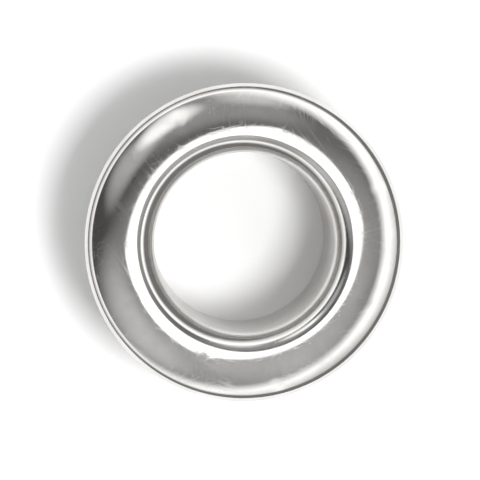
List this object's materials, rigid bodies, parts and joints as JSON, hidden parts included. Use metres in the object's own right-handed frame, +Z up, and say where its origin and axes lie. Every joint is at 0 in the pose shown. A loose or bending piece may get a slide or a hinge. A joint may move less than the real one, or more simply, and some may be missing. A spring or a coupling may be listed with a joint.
{
  "type": "grommet eyelet",
  "caption": "Thin-walled sheet metal eyelet that lines a punched hole: an open barrel, tapered at its free end, rolls over at the throat into a domed flange with a turned-down rim",
  "frame": {"origin": "middle of the barrel's free end, in the plane of its cut edge", "axes": "+Z runs up the barrel's axis towards the flange; the eyelet is round, so +X and +Y lie anywhere across it"},
  "size_m": [0.017, 0.017, 0.0058],
  "materials": {
    "nickel_plate": "bright nickel plate, tumbled, with fine scuffs"
  },
  "bodies": {
    "root": {"eyelet": "nickel_plate"}
  },
  "joints": []
}
